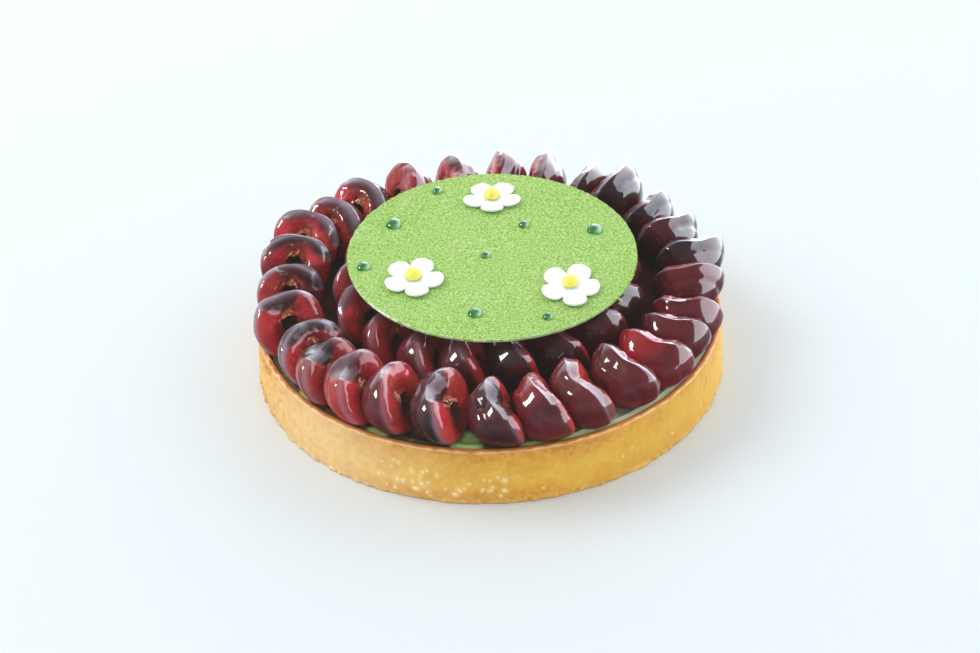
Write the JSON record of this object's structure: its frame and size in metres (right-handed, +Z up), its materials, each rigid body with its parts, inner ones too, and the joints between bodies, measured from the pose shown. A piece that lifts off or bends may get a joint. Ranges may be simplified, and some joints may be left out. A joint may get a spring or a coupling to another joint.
{
  "type": "cherry tart",
  "caption": "Round shortcrust tart with green cream, two rings of glazed cherry halves standing on edge, and a velvety green disc with sugar flowers and drops of gel.",
  "frame": {"origin": "on the flat underside of the pastry shell, under its centre", "axes": "+Z up; +X to the viewer's right and +Y away from the viewer in the view of the picture"},
  "size_m": [0.162, 0.1624, 0.0486],
  "materials": {
    "pastry": "matt golden shortcrust, browned at the rim, fine crumb with pale specks",
    "pistachio_cream": "soft pale green cream with clear wet glaze at the edge",
    "glazed_cherry": "dark wine skin and red flesh under a clear, wet, glossy glaze",
    "velvet_disc": "matt yellow-green velvet spray with a fine grain; the drops of gel on it are glossy and dark green",
    "white_sugar": "soft matt white sugar petals",
    "yellow_sugar": "matt yellow sugar"
  },
  "bodies": {
    "root": {"crust": "pastry", "cream": "pistachio_cream", "cherry_outer_01": "glazed_cherry", "cherry_outer_02": "glazed_cherry", "cherry_outer_03": "glazed_cherry", "cherry_outer_04": "glazed_cherry", "cherry_outer_05": "glazed_cherry", "cherry_outer_06": "glazed_cherry", "cherry_outer_07": "glazed_cherry", "cherry_outer_08": "glazed_cherry", "cherry_outer_09": "glazed_cherry", "cherry_outer_10": "glazed_cherry", "cherry_outer_11": "glazed_cherry", "cherry_outer_12": "glazed_cherry", "cherry_outer_13": "glazed_cherry", "cherry_outer_14": "glazed_cherry", "cherry_outer_15": "glazed_cherry", "cherry_outer_16": "glazed_cherry", "cherry_outer_17": "glazed_cherry", "cherry_outer_18": "glazed_cherry", "cherry_outer_19": "glazed_cherry", "cherry_outer_20": "glazed_cherry", "cherry_outer_21": "glazed_cherry", "cherry_outer_22": "glazed_cherry", "cherry_outer_23": "glazed_cherry", "cherry_outer_24": "glazed_cherry", "cherry_outer_25": "glazed_cherry", "cherry_outer_26": "glazed_cherry", "cherry_outer_27": "glazed_cherry", "cherry_outer_28": "glazed_cherry", "cherry_inner_01": "glazed_cherry", "cherry_inner_02": "glazed_cherry", "cherry_inner_03": "glazed_cherry", "cherry_inner_04": "glazed_cherry", "cherry_inner_05": "glazed_cherry", "cherry_inner_06": "glazed_cherry", "cherry_inner_07": "glazed_cherry", "cherry_inner_08": "glazed_cherry", "cherry_inner_09": "glazed_cherry", "cherry_inner_10": "glazed_cherry", "cherry_inner_11": "glazed_cherry", "cherry_inner_12": "glazed_cherry", "cherry_inner_13": "glazed_cherry", "cherry_inner_14": "glazed_cherry", "cherry_inner_15": "glazed_cherry", "cherry_inner_16": "glazed_cherry", "cherry_inner_17": "glazed_cherry", "disc": "velvet_disc", "flower_left": "white_sugar", "flower_centre_left": "yellow_sugar", "flower_right": "white_sugar", "flower_centre_right": "yellow_sugar", "flower_back": "white_sugar", "flower_centre_back": "yellow_sugar"}
  },
  "joints": []
}
